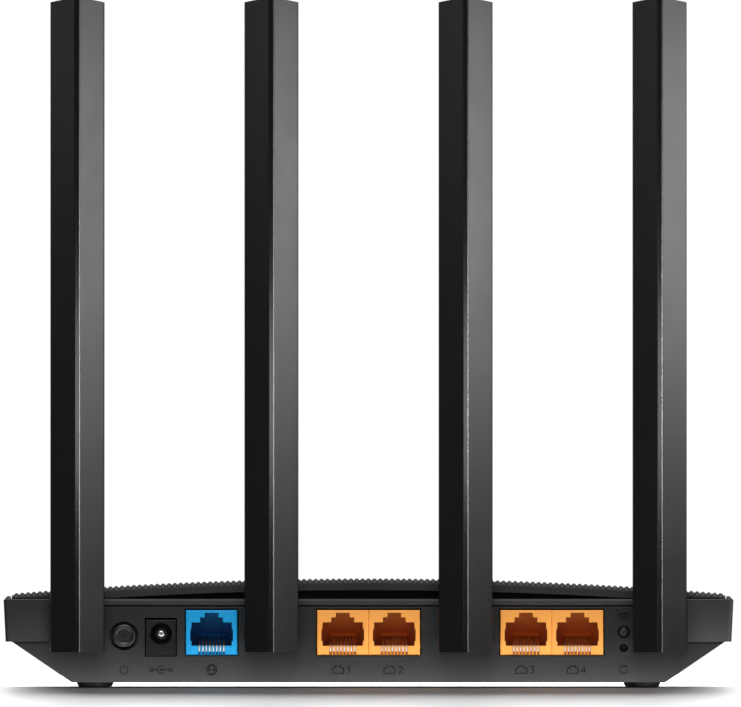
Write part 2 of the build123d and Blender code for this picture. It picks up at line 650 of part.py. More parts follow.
def make_antenna_swivel(x):
    """Turret that turns in the panel, with the tongue of the tilt hinge."""
    flange = rod_y(0, AXIS_Z, TURRET_FLANGE_R, TURRET_Y)
    barrel = rod_y(0, AXIS_Z, TURRET_R, (TURRET_Y[1] - 0.5, TURRET_END))
    groove = rod_y(0, AXIS_Z, BOSS_R + 2, (BOSS_Y, BOSS_Y + KEEPER_THICK + 0.1))
    groove -= rod_y(0, AXIS_Z, GROOVE_R, (BOSS_Y - 1, BOSS_Y + KEEPER_THICK + 1))
    tongue = block(both(TONGUE_HALF), (TILT_Y, TURRET_Y[0] + 0.5), (AXIS_Z - TONGUE_R, AXIS_Z + TONGUE_R))
    tongue += rod_x(TILT_Y, AXIS_Z, TONGUE_R, both(TONGUE_HALF))
    swivel = flange + barrel + tongue - groove
    swivel -= rod_y(0, AXIS_Z, LEAD_BORE, (TILT_Y + 2.4, TURRET_END + 1))
    swivel -= rod_x(TILT_Y, AXIS_Z, PIN_R, both(PIN_HALF))
    return at_x(x, swivel)


def make_antenna_pin(x):
    return at_x(x, rod_x(TILT_Y, AXIS_Z, PIN_R, both(PIN_HALF)))


def make_keeper(x):
    """Ring open at one side, pushed into the groove of a turret from above."""
    y = (BOSS_Y, BOSS_Y + KEEPER_THICK)
    bore = GROOVE_R + 0.1
    ring = rod_y(0, AXIS_Z, BOSS_R, y) - rod_y(0, AXIS_Z, bore, (y[0] - 1, y[1] + 1))
    ring -= block(both(bore), (y[0] - 1, y[1] + 1), (AXIS_Z - BOSS_R - 2, AXIS_Z))
    return at_x(x, ring)


def board_socket_x(x):
    """Where the lead of the antenna at x reaches the board."""
    limit = BOARD_HALF - SOCKET_INSET
    return max(-limit, min(limit, x))


def make_antenna_cable(x):
    """Coax lead from the turret to its socket on the board."""
    end_x = board_socket_x(x)
    level = BOARD_Z[1] + 2.4
    path = FilletPolyline((x, TURRET_END + 0.3, AXIS_Z), (x, LEAD_TURN_Y, AXIS_Z),
                          (end_x, LEAD_TURN_Y, level), (end_x, SOCKET_Y - 1.1, level), radius=1.5)
    start = Plane(origin=path @ 0, z_dir=path % 0)
    lead = sweep(start * Circle(LEAD_R), path=path)
    plug = rod_z(end_x, SOCKET_Y, 1.3, (BOARD_Z[1] + 1.5, BOARD_Z[1] + 3.2))
    return Part([*lead.solids()]) + plug


def make_antenna_sockets():
    z = (BOARD_Z[1], BOARD_Z[1] + 1.5)
    return group([rod_z(board_socket_x(x), SOCKET_Y, 1.1, z) for x in ANTENNA_XS])


# ---------------------------------------------------------------- electronics
def make_main_board():
    board = block(both(BOARD_HALF), (BOARD_REAR, BOARD_FRONT), BOARD_Z)
    deep = (BOARD_Z[0] - 1, BOARD_Z[1] + 1)
    for x in ANTENNA_XS:
        board -= block((x - 8.0, x + 8.0), (BOARD_REAR - 1, TURRET_END + 2.7), deep)
    board -= [rod_z(x, y, 1.2, deep) for x, y in BOARD_SCREWS]
    for x in both(BOARD_HALF):
        for y in SCREW_YS:
            board -= block((x - 3.7, x + 3.7), (y - 4.7, y + 4.7), deep)
    return board


def make_shield_cans():
    cans = []
    for x in both(45.0):
        can = block((x - 14, x + 14), (-11, 13), (BOARD_Z[1], BOARD_Z[1] + 3.0))
        can -= block((x - 13.7, x + 13.7), (-10.7, 12.7), (BOARD_Z[1] - 1, BOARD_Z[1] + 2.7))
        can -= [rod_z(x + i * 4.7, 1, 0.85, (BOARD_Z[1] + 1, BOARD_Z[1] + 5)) for i in range(-2, 3)]
        cans.append(can)
    return group(cans)


def make_processor():
    return block(both(7.5), both(7.5), (BOARD_Z[1], BOARD_Z[1] + 1.2))


def make_thermal_pad():
    return block(both(7.0), both(7.0), (BOARD_Z[1] + 1.2, BOARD_Z[1] + 2.0))


def make_heatsink():
    z = BOARD_Z[1] + 2.0
    sink = block(both(16), both(15), (z, z + 1.9))
    fins = [block((i * 3.7 - 0.55, i * 3.7 + 0.55), both(15), (z + 1.4, z + 8.4)) for i in range(-4, 5)]
    return sink + fins


def make_board_chips():
    z = (BOARD_Z[1], BOARD_Z[1] + 1.1)
    chips = [block((22, 28), (-6, 5), z), block((-28, -22), both(3), z), block(both(6), (17, 24), z),
             block((-46, -39), (17, 23), z), block((37, 44), (17, 23), z)]
    return group(chips)


def make_magnetics():
    z = (BOARD_Z[1], BOARD_Z[1] + 5.6)
    blocks = [block((WAN_X - 7.5, WAN_X + 7.5), (-30, -20), z), block(both(11), (-31, -22), z),
              block((43, 56), (-30, -21), z)]
    return group(blocks)


def make_capacitors():
    spots = ((-66.0, -33.0), (-60.5, -34.0), (67.0, 4.0), (-68.0, 8.0))
    return group([rod_z(x, y, 2.3, (BOARD_Z[1], BOARD_Z[1] + 6.5)) for x, y in spots])


def make_led_board():
    return block(both(27), (LED_Y - 3.8, LED_Y + 6.5), LED_BOARD_Z)


def make_leds():
    top = LED_BOARD_Z[1]
    return group([block((x - 1.1, x + 1.1), (LED_Y - 0.75, LED_Y + 0.75), (top, top + 1.0)) for x in LED_XS])


# ---------------------------------------------------------------- feet and fasteners
def make_feet():
    feet = []
    for x in FOOT_XS:
        for y in FOOT_YS:
            pad = Pos(x, y, FLOOR_Z / 2) * Cone(FOOT_BOTTOM_R, FOOT_TOP_R, FLOOR_Z)
            feet.append(pad + rod_z(x, y, FOOT_TOP_R, (FLOOR_Z, FLOOR_Z + FOOT_SINK)))
    return group(feet)


def screw(x, y, head_r, head_z, shank_r, tip_z):
    """Cross-head screw along Z, its head at head_z."""
    body = rod_z(x, y, head_r, head_z) + rod_z(x, y, shank_r, sorted((sum(head_z) / 2, tip_z)))
    outside = head_z[0] if tip_z > head_z[1] else head_z[1]
    cross = (outside - 0.8, outside + 0.8)
    body -= block((x - 1.2, x + 1.2), (y - 0.25, y + 0.25), cross)
    return body - block((x - 0.25, x + 0.25), (y - 1.2, y + 1.2), cross)


def make_case_screws():
    return group([screw(x, y, 2.4, (3.0, 4.7), 1.1, 13.5) for x in both(SCREW_X) for y in SCREW_YS])


def make_board_screws():
    top = BOARD_Z[1]
    return group([screw(x, y, 2.25, (top, top + 1.5), 0.95, 4.1) for x, y in BOARD_SCREWS])


# ---------------------------------------------------------------- assembly
parts["top_cover"] = make_top_cover()
parts["front_panel"] = make_front_panel()
parts["light_pipe"] = make_light_pipe()
parts["upper_shell"] = make_upper_shell()
parts["lower_shell"] = make_lower_shell()
parts["rear_panel"] = make_rear_panel()
parts["rear_baffle"] = make_rear_baffle()

parts["wan_jack"] = make_jack(WAN_X)
for number, x in enumerate(LAN_XS, start=1):
    parts[f"lan_jack_{number}"] = make_jack(x)
parts["jack_contacts"] = group(wire for x in (WAN_X, *LAN_XS) for wire in make_contacts(x))
parts["dc_jack_housing"] = make_dc_jack()
parts["dc_jack_pin"] = make_dc_pin()
parts["dc_jack_spring"] = make_dc_spring()

parts["power_button"] = make_power_button()
parts["power_switch"] = make_power_switch()
parts["wps_button"] = make_wps_button()
parts["reset_plunger"] = make_reset_plunger()
parts["small_switches"] = make_small_switches()

for number, x in enumerate(ANTENNA_XS, start=1):
    parts[f"antenna_{number}_shell"] = make_antenna_shell(x)
    parts[f"antenna_{number}_cover"] = make_antenna_cover(x)
    parts[f"antenna_{number}_element"] = make_antenna_element(x)
    parts[f"antenna_{number}_swivel"] = make_antenna_swivel(x)
    parts[f"antenna_{number}_pin"] = make_antenna_pin(x)
    parts[f"antenna_{number}_cable"] = make_antenna_cable(x)
parts["antenna_retainers"] = group(make_keeper(x) for x in ANTENNA_XS)
parts["antenna_sockets"] = make_antenna_sockets()

parts["main_board"] = make_main_board()
parts["processor"] = make_processor()
parts["thermal_pad"] = make_thermal_pad()
parts["heatsink"] = make_heatsink()
parts["shield_cans"] = make_shield_cans()
parts["board_chips"] = make_board_chips()
parts["magnetics"] = make_magnetics()
parts["capacitors"] = make_capacitors()
parts["led_board"] = make_led_board()
parts["leds"] = make_leds()

parts["rubber_feet"] = make_feet()
parts["case_screws"] = make_case_screws()
parts["board_screws"] = make_board_screws()

os.makedirs("parts", exist_ok=True)
for name, shape in parts.items():
    export_step(shape, f"parts/{name}.step")
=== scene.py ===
"""Looks of the desktop router: materials, softened edges, panel marks, camera, floor and lights."""

import json
import math

import bmesh
import bpy
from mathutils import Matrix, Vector
from mathutils.bvhtree import BVHTree


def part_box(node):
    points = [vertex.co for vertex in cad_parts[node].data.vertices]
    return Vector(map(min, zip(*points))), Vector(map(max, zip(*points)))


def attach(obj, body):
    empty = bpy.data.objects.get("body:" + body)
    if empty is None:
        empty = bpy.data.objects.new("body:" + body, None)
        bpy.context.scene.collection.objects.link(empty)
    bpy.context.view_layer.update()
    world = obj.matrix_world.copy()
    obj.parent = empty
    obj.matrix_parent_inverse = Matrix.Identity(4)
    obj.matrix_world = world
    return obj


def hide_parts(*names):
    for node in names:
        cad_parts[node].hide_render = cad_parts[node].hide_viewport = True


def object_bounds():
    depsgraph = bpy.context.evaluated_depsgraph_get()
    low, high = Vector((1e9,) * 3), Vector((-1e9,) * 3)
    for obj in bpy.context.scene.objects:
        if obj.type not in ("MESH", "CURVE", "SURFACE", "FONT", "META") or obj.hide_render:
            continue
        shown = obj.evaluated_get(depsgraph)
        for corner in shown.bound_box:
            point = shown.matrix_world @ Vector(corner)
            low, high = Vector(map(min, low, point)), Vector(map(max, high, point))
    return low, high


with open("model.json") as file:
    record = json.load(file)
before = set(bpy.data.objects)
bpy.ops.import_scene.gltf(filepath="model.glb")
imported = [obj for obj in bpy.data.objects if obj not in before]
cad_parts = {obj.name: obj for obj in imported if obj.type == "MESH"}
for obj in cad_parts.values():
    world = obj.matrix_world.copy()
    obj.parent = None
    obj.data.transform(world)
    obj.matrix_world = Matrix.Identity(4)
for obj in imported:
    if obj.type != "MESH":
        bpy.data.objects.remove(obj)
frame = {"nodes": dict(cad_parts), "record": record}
CAD_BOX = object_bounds()

MM = 0.001
NODES = frame["nodes"]
ANTENNAS = (1, 2, 3, 4)
LAN_PORTS = (1, 2, 3, 4)

# ---------------------------------------------------------------- places worked out from the frame
REAR_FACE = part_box("upper_shell")[0].y
PANEL_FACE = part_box("rear_panel")[0].y
FLOOR_Z = CAD_BOX[0].z
RIDGE_Y = CAD_BOX[0].y + 0.5 * MM      # the antennas' ridges lie behind this
CONTACT_Y = REAR_FACE + 1 * MM         # the fronts of the socket contacts, painted paler as a highlight, lie behind this


def middle(node):
    low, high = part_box(node)
    return (low + high) / 2


# ---------------------------------------------------------------- camera
LENS = 1000.0              # so long that the view is nearly free of perspective
SENSOR = 36.0
VIEW_WIDTH = 216.5 * MM
VIEW_CENTRE = Vector((0.58 * MM, REAR_FACE, 97.7 * MM))
CAMERA_HEIGHT = 30.0 * MM


def make_camera():
    data = bpy.data.cameras.new("camera")
    data.lens = LENS
    data.sensor_width = SENSOR
    data.clip_start = 1.0
    data.clip_end = 40.0
    camera = bpy.data.objects.new("camera", data)
    bpy.context.scene.collection.objects.link(camera)
    distance = LENS * VIEW_WIDTH / SENSOR
    place = Vector((VIEW_CENTRE.x, REAR_FACE - distance, CAMERA_HEIGHT))
    camera.location = place
    camera.rotation_euler = (VIEW_CENTRE - place).to_track_quat("-Z", "Y").to_euler()
    bpy.context.scene.camera = camera


# ---------------------------------------------------------------- materials
def new_material(name):
    material = bpy.data.materials.new(name)
    material.use_nodes = True
    tree = material.node_tree
    tree.nodes.clear()
    shader = tree.nodes.new("ShaderNodeBsdfPrincipled")
    output = tree.nodes.new("ShaderNodeOutputMaterial")
    tree.links.new(shader.outputs["BSDF"], output.inputs["Surface"])
    return material, tree, shader


def object_coordinates(tree):
    return tree.nodes.new("ShaderNodeTexCoord").outputs["Object"]


def noise(tree, scale, detail=3.0, rough=0.5, stretch=None):
    """Noise in metres of the part's own frame: scale is cycles per metre."""
    texture = tree.nodes.new("ShaderNodeTexNoise")
    texture.inputs["Scale"].default_value = scale
    texture.inputs["Detail"].default_value = detail
    texture.inputs["Roughness"].default_value = rough
    source = object_coordinates(tree)
    if stretch:
        mapping = tree.nodes.new("ShaderNodeMapping")
        mapping.inputs["Scale"].default_value = stretch
        tree.links.new(source, mapping.inputs["Vector"])
        source = mapping.outputs["Vector"]
    tree.links.new(source, texture.inputs["Vector"])
    return texture.outputs["Fac"]


def spread(tree, source, low, high, start=0.3, end=0.7):
    """Maps a noise value onto a range."""
    node = tree.nodes.new("ShaderNodeMapRange")
    node.inputs["From Min"].default_value = start
    node.inputs["From Max"].default_value = end
    node.inputs["To Min"].default_value = low
    node.inputs["To Max"].default_value = high
    tree.links.new(source, node.inputs["Value"])
    return node.outputs["Result"]


def blend_colours(tree, factor, first, second):
    mix = tree.nodes.new("ShaderNodeMix")
    mix.data_type = "RGBA"
    mix.inputs["A"].default_value = (*first, 1.0)
    mix.inputs["B"].default_value = (*second, 1.0)
    tree.links.new(factor, mix.inputs["Factor"])
    return mix.outputs["Result"]


def bump(tree, shader, heights):
    """Chains bumps, each given as (height, depth in metres)."""
    last = None
    for height, depth in heights:
        node = tree.nodes.new("ShaderNodeBump")
        node.inputs["Strength"].default_value = 1.0
        node.inputs["Distance"].default_value = depth
        tree.links.new(height, node.inputs["Height"])
        if last:
            tree.links.new(last, node.inputs["Normal"])
        last = node.outputs["Normal"]
    tree.links.new(last, shader.inputs["Normal"])


def moulded(name, colour, rough, grain=1800.0, depth=6e-6, mottle=0.12, gloss=0.5, wave=3.0, uneven=0.035):
    """Injection-moulded plastic: spark-eroded grain, faint flow marks and uneven gloss."""
    material, tree, shader = new_material(name)
    darker = tuple(c * (1 - mottle) for c in colour)
    lighter = tuple(c * (1 + mottle) for c in colour)
    flow = spread(tree, noise(tree, 22.0, 4.0), 0.0, 1.0)
    tree.links.new(blend_colours(tree, flow, darker, lighter), shader.inputs["Base Color"])
    polish = spread(tree, noise(tree, 90.0, 3.0), rough - uneven, rough + uneven)
    tree.links.new(polish, shader.inputs["Roughness"])
    shader.inputs["Specular IOR Level"].default_value = gloss
    fine = noise(tree, grain, 2.0, 0.6)
    broad = noise(tree, 60.0, 2.0)
    bump(tree, shader, [(broad, depth * wave), (fine, depth)])
    return material


def metal(name, colour, rough, brushed=None, metallic=1.0):
    """Plated or rolled metal, with a brushed direction where one is given."""
    material, tree, shader = new_material(name)
    shader.inputs["Metallic"].default_value = metallic
    tarnish = spread(tree, noise(tree, 160.0, 4.0), 0.0, 1.0)
    dull = tuple(c * 0.86 for c in colour)
    tree.links.new(blend_colours(tree, tarnish, dull, colour), shader.inputs["Base Color"])
    uneven = spread(tree, noise(tree, 300.0, 3.0), rough - 0.05, rough + 0.07)
    tree.links.new(uneven, shader.inputs["Roughness"])
    bump(tree, shader, [(noise(tree, 900.0, 3.0, 0.5, brushed), 1.5e-6)])
    return material


def circuit_board(name, mask, copper):
    """Green solder mask over a faint grid of tracks."""
    material, tree, shader = new_material(name)
    tracks = tree.nodes.new("ShaderNodeTexVoronoi")
    tracks.feature = "DISTANCE_TO_EDGE"
    tracks.inputs["Scale"].default_value = 420.0
    tree.links.new(object_coordinates(tree), tracks.inputs["Vector"])
    line = spread(tree, tracks.outputs["Distance"], 1.0, 0.0, 0.02, 0.06)
    tree.links.new(blend_colours(tree, line, mask, copper), shader.inputs["Base Color"])
    shader.inputs["Roughness"].default_value = 0.32
    bump(tree, shader, [(line, 1.2e-5), (noise(tree, 2600.0), 2e-6)])
    return material


def clear_guide(name):
    """Clear light guide with a frosted top."""
    material, tree, shader = new_material(name)
    shader.inputs["Base Color"].default_value = (0.86, 0.9, 0.93, 1.0)
    shader.inputs["IOR"].default_value = 1.49
    shader.inputs["Transmission Weight"].default_value = 0.55
    tree.links.new(spread(tree, noise(tree, 800.0), 0.18, 0.34), shader.inputs["Roughness"])
    bump(tree, shader, [(noise(tree, 3000.0), 4e-6)])
    return material


def soft_rubber(name, colour, rough=0.72):
    """Matt rubber with a faint bloom on its surface."""
    material, tree, shader = new_material(name)
    bloom = spread(tree, noise(tree, 240.0, 5.0), 0.0, 1.0, 0.4, 0.8)
    dusty = tuple(c * 1.7 + 0.004 for c in colour)
    tree.links.new(blend_colours(tree, bloom, colour, dusty), shader.inputs["Base Color"])
    sheen = spread(tree, noise(tree, 400.0), rough - 0.08, rough + 0.08)
    tree.links.new(sheen, shader.inputs["Roughness"])
    shader.inputs["Specular IOR Level"].default_value = 0.35
    bump(tree, shader, [(noise(tree, 1500.0, 4.0), 1.2e-5)])
    return material


def make_materials():
    """One material for each slot of the record, a glossier second finish for the antenna ridges, and a paler
    copy of the contact metal that paints a highlight on the contact fronts.
    """
    fine = {"depth": 3e-6}
    sleek = {"depth": 8e-7, "wave": 1.0, "uneven": 0.012}
    mirror = {"depth": 4e-7, "wave": 1.0, "uneven": 0.01}
    strip = {"grain": 900.0, "depth": 4e-7, "wave": 1.0, "uneven": 0.02}
    return {
        "lid": moulded("lid", (0.022, 0.022, 0.023), 0.42),
        "front_strip": moulded("front_strip", (0.010, 0.010, 0.0105), 0.26, **strip),
        "light_guide": clear_guide("light_guide"),
        "upper_case": moulded("upper_case", (0.020, 0.020, 0.0207), 0.45),
        "lower_case": moulded("lower_case", (0.020, 0.020, 0.0207), 0.47),
        "rear_case": moulded("rear_case", (0.0125, 0.0125, 0.0129), 0.47),
        "baffle": moulded("baffle", (0.008, 0.008, 0.0085), 0.6),
        "blue_socket": moulded("blue_socket", (0.008, 0.300, 0.640), 0.36, mottle=0.04, **fine),
        "orange_socket": moulded("orange_socket", (0.900, 0.370, 0.075), 0.36, mottle=0.04, **fine),
        "contact_gold": metal("contact_gold", (0.80, 0.66, 0.48), 0.34),
        # a paler, half-metallic copy of the contact metal for the contact fronts: painted highlight where
        # their bends catch the light
        "contact_painted_highlight": metal("contact_painted_highlight", (0.95, 0.93, 0.90), 0.42, metallic=0.30),
        "inlet_black": moulded("inlet_black", (0.012, 0.012, 0.013), 0.34, **fine),
        "steel": metal("steel", (0.72, 0.72, 0.73), 0.38),
        "button_black": moulded("button_black", (0.014, 0.014, 0.015), 0.36, depth=4e-6),
        "component_black": moulded("component_black", (0.016, 0.016, 0.017), 0.5),
        "hinge_black": moulded("hinge_black", (0.014, 0.014, 0.015), 0.4),
        "antenna_black": moulded("antenna_black", (0.0030, 0.0030, 0.0032), 0.25, **sleek),
        "antenna_ridge": moulded("antenna_ridge", (0.0022, 0.0022, 0.0024), 0.15, **mirror),
        "antenna_board": metal("antenna_board", (0.72, 0.42, 0.22), 0.35),
        "coax_sheath": soft_rubber("coax_sheath", (0.06, 0.06, 0.065), 0.5),
        "board_green": circuit_board("board_green", (0.006, 0.075, 0.028), (0.02, 0.16, 0.06)),
        "thermal_pad": soft_rubber("thermal_pad", (0.22, 0.29, 0.35)),
        "heatsink_metal": metal("heatsink_metal", (0.74, 0.74, 0.76), 0.32, (1, 12, 1)),
        "shield_metal": metal("shield_metal", (0.70, 0.70, 0.68), 0.3, (12, 1, 1)),
        "capacitor_can": metal("capacitor_can", (0.55, 0.56, 0.60), 0.28),
        "led_lens": moulded("led_lens", (0.80, 0.81, 0.76), 0.3, mottle=0.03),
        "rubber_foot": soft_rubber("rubber_foot", (0.011, 0.011, 0.0115), 0.6),
        "screw_steel": metal("screw_steel", (0.56, 0.56, 0.58), 0.3, (1, 1, 10)),
    }


def dress(obj, slot):
    obj.data.materials.clear()
    obj.data.materials.append(MATERIALS[slot])


FACING_BACK = -0.97                    # normals with a smaller y look straight back


def refinish(obj, name, reach):
    """Gives the faces that look back and lie behind y = reach a second material: a glossier finish on the
    antenna ridges, a painted highlight on the contact fronts.
    """
    obj.data.materials.append(MATERIALS[name])
    for face in obj.data.polygons:
        if face.normal.y < FACING_BACK and face.center.y < reach:
            face.material_index = 1


def slot_of():
    return {p["node"]: p["material_slot"] for p in frame["record"]["subparts"]}


# ---------------------------------------------------------------- meshes
def link(name, mesh):
    obj = bpy.data.objects.new(name, mesh)
    bpy.context.scene.collection.objects.link(obj)
    return obj


def apply_modifiers(obj):
    graph = bpy.context.evaluated_depsgraph_get()
    mesh = bpy.data.meshes.new_from_object(obj.evaluated_get(graph))
    old = obj.data
    obj.modifiers.clear()
    obj.data = mesh
    bpy.data.meshes.remove(old)


def body_of(node):
    for body, members in frame["record"]["behaviour"]["bodies"].items():
        if node in members:
            return body
    return "root"


ROUNDED_ANGLE = math.radians(28)       # edges sharper than this are rounded
SHARP_ANGLE = math.radians(34)         # and edges still sharper than this are shaded as edges
WELD = 1e-6


def weigh_long_edges(work, least):
    """Marks sharp edges of at least a given length for rounding."""
    weight = work.edges.layers.float.new("bevel_weight_edge")
    for edge in work.edges:
        if edge.is_manifold and edge.calc_length() >= least:
            edge[weight] = float(edge.calc_face_angle() > ROUNDED_ANGLE)


def smoothed(mesh):
    for face in mesh.polygons:
        face.use_smooth = True
    mesh.set_sharp_from_angle(angle=SHARP_ANGLE)


def softened(node, width, segments=2, least=0.0):
    """A copy of a CAD node with its sharp edges rounded, or only those at least as long as least."""
    work = bmesh.new()
    work.from_mesh(NODES[node].data)
    bmesh.ops.remove_doubles(work, verts=work.verts, dist=WELD)
    bmesh.ops.dissolve_limit(work, angle_limit=math.radians(1.0), verts=work.verts, edges=work.edges)
    if least:
        weigh_long_edges(work, least)
    mesh = bpy.data.meshes.new(node + "_softened")
    work.to_mesh(mesh)
    work.free()
    obj = link(node + "_softened", mesh)
    rounding = obj.modifiers.new("rounding", "BEVEL")
    rounding.width = width
    rounding.segments = segments
    rounding.limit_method = "WEIGHT" if least else "ANGLE"
    rounding.angle_limit = ROUNDED_ANGLE
    rounding.use_clamp_overlap = not least
    apply_modifiers(obj)
    smoothed(obj.data)
    weighting = obj.modifiers.new("weighting", "WEIGHTED_NORMAL")
    weighting.keep_sharp = True
    apply_modifiers(obj)
    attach(obj, body_of(node))
    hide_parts(node)
    return obj


PIN_RADIUS = 1.0 * MM
COLLAR_RADIUS = 1.65 * MM
COLLAR_BORE = 1.35 * MM
COLLAR_LENGTH = 3.2 * MM
COLLAR_FLOOR = 0.8 * MM                # thickness left behind the bore of the collar
COLLAR_LIP = 0.1 * MM
NOSE_STEPS = 8
TURN_STEPS = 48


def pin_profile(nose, end):
    """Outline of the inlet pin and its collar as (radius, y), from the nose to the middle of the back."""
    front, base = end - COLLAR_LENGTH, end - COLLAR_FLOOR
    nose_radius = PIN_RADIUS / 2
    profile = [(0.0, nose)]
    for i in range(NOSE_STEPS + 1):
        turn = math.radians(90 * i / NOSE_STEPS)
        profile.append((nose_radius * (1 + math.sin(turn)), nose + nose_radius * (1 - math.cos(turn))))
    profile += [(PIN_RADIUS, base), (COLLAR_BORE, base), (COLLAR_BORE, front + COLLAR_LIP)]
    profile += [(COLLAR_BORE + COLLAR_LIP, front), (COLLAR_RADIUS - COLLAR_LIP, front)]
    return profile + [(COLLAR_RADIUS, front + COLLAR_LIP), (COLLAR_RADIUS, end), (0.0, end)]


def smooth_pin(node):
    """The centre pin of the inlet and its collar, turned finely about their axis."""
    low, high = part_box(node)
    x, z = (low.x + high.x) / 2, (low.z + high.z) / 2
    profile = pin_profile(low.y, high.y)
    turns = [2 * math.pi * k / TURN_STEPS for k in range(TURN_STEPS)]
    points = []
    for radius, y in profile:
        points += [(x + radius * math.cos(turn), y, z + radius * math.sin(turn)) for turn in turns]
    faces = []
    for i in range(len(profile) - 1):
        for k in range(TURN_STEPS):
            a, b = i * TURN_STEPS + k, i * TURN_STEPS + (k + 1) % TURN_STEPS
            faces.append((a, b, b + TURN_STEPS, a + TURN_STEPS))
    mesh = bpy.data.meshes.new(node + "_turned")
    mesh.from_pydata(points, [], faces)
    work = bmesh.new()
    work.from_mesh(mesh)
    bmesh.ops.remove_doubles(work, verts=work.verts, dist=WELD / 10)
    bmesh.ops.recalc_face_normals(work, faces=work.faces)
    work.to_mesh(mesh)
    work.free()
    smoothed(mesh)
    obj = link(node + "_turned", mesh)
    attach(obj, body_of(node))
    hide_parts(node)
    return obj


# ---------------------------------------------------------------- marks moulded on the rear panel
MARK_DEPTH = 0.12 * MM
MARK_LINE = 0.30 * MM
MARK_TOP = 0.6                         # width of a line's flat top, as a share of its foot
MARK_ROW = 5.3 * MM                    # height of the row of marks under the sockets
PAIRING_ROW = 20.6 * MM                # height of the pairing arcs above the small button
PLUG_SHIFT = -1.4 * MM                 # plug outline and numeral, from the middle of their socket
NUMERAL_SHIFT = 1.8 * MM


def arc(radius, start, end, centre=(0.0, 0.0), steps=20):
    """Points of an arc, angles in degrees from +X."""
    angles = [math.radians(start + (end - start) * i / steps) for i in range(steps + 1)]
    return [(centre[0] + radius * math.cos(a), centre[1] + radius * math.sin(a)) for a in angles]


def add_stroke(work, points, x, z, y):
    """A raised line through points given in mm around (x, z), standing proud of the face at y."""
    spots = [Vector((x + a * MM, z + b * MM)) for a, b in points]
    closed = (spots[0] - spots[-1]).length < WELD
    if closed:
        spots.pop()
    count = len(spots)
    rings = []
    for i, spot in enumerate(spots):
        before = spots[i - 1] if i or closed else spot
        after = spots[(i + 1) % count] if i < count - 1 or closed else spot
        first = (spot - before).normalized() if (spot - before).length else (after - spot).normalized()
        second = (after - spot).normalized() if (after - spot).length else first
        along = (first + second).normalized()
        side = Vector((-along.y, along.x)) * MARK_LINE / 2 / max(0.5, along.dot(first))
        top = side * MARK_TOP
        ring = []
        for edge, rise in ((side, MARK_DEPTH), (top, -MARK_DEPTH), (-top, -MARK_DEPTH), (-side, MARK_DEPTH)):
            ring.append(work.verts.new((spot.x + edge.x, y + rise, spot.y + edge.y)))
        rings.append(ring)
    pairs = list(zip(rings, rings[1:] + rings[:1])) if closed else list(zip(rings, rings[1:]))
    for a, b in pairs:
        for k in range(4):
            work.faces.new((a[k], a[(k + 1) % 4], b[(k + 1) % 4], b[k]))
    if not closed:
        work.faces.new(rings[0])
        work.faces.new(rings[-1])


NUMERALS = {
    1: [[(-0.45, 0.65), (0.1, 1.0), (0.1, -1.0)]],
    2: [arc(0.62, 165, -38, (0.0, 0.4), 12) + [(-0.62, -1.0), (0.68, -1.0)]],
    3: [arc(0.5, 150, -90, (0.0, 0.5), 12), arc(0.52, 90, -150, (0.0, -0.48), 12)],
    4: [[(0.7, -0.4), (-0.7, -0.4), (0.3, 1.0), (0.3, -1.0)]],
}
PLUG_OUTLINE = [(-1.6, -1.05), (1.6, -1.05), (1.6, 0.5), (0.8, 0.5), (0.8, 1.1), (-0.8, 1.1), (-0.8, 0.5),
                (-1.6, 0.5), (-1.6, -1.05)]
POLARITY = [arc(1.1, 40, 320), arc(0.3, 0, 360), [(0.3, 0.0), (2.3, 0.0)], [(-1.1, 0.0), (-2.3, 0.0)],
            arc(0.5, 0, 360, (2.8, 0.0)), arc(0.5, 0, 360, (-2.8, 0.0))]
GLOBE = [arc(1.5, 0, 360), [(-1.5, 0.0), (1.5, 0.0)], arc(1.75, -59, 59, (-0.9, 0.0)),
         arc(1.75, 121, 239, (0.9, 0.0))]
RESET_ARROW = [arc(1.1, 60, 350), [(0.4, 1.45), (0.55, 0.85), (1.15, 1.0)]]
PAIRING_ARCS = [arc(radius, 45, 135, (0.0, -1.2)) for radius in (0.8, 1.6, 2.4)]
CAP_ARC = [arc(0.55, 60, 350)]


def face_at(node, x, z):
    """The y of the rear-most surface of a node at (x, z)."""
    work = bmesh.new()
    work.from_mesh(NODES[node].data)
    outside = Vector((x, CAD_BOX[0].y - 100 * MM, z))
    hit = BVHTree.FromBMesh(work).ray_cast(outside, Vector((0, 1, 0)))[0]
    work.free()
    return hit.y


def power_symbol(size):
    """Open ring with a bar in its gap."""
    return [arc(size, 125, 415), [(0.0, 0.2 * size), (0.0, 1.3 * size)]]


def mark_object(name, rows, body, colour, gloss):
    """One object from rows of (points, x, z, y), all in the frame's coordinates."""
    work = bmesh.new()
    for points, x, z, y in rows:
        add_stroke(work, points, x, z, y)
    bmesh.ops.recalc_face_normals(work, faces=work.faces)
    mesh = bpy.data.meshes.new(name)
    work.to_mesh(mesh)
    work.free()
    marks = link(name, mesh)
    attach(marks, body)
    mesh.materials.append(moulded(name, colour, 0.6, depth=2e-6, gloss=gloss))
    return marks


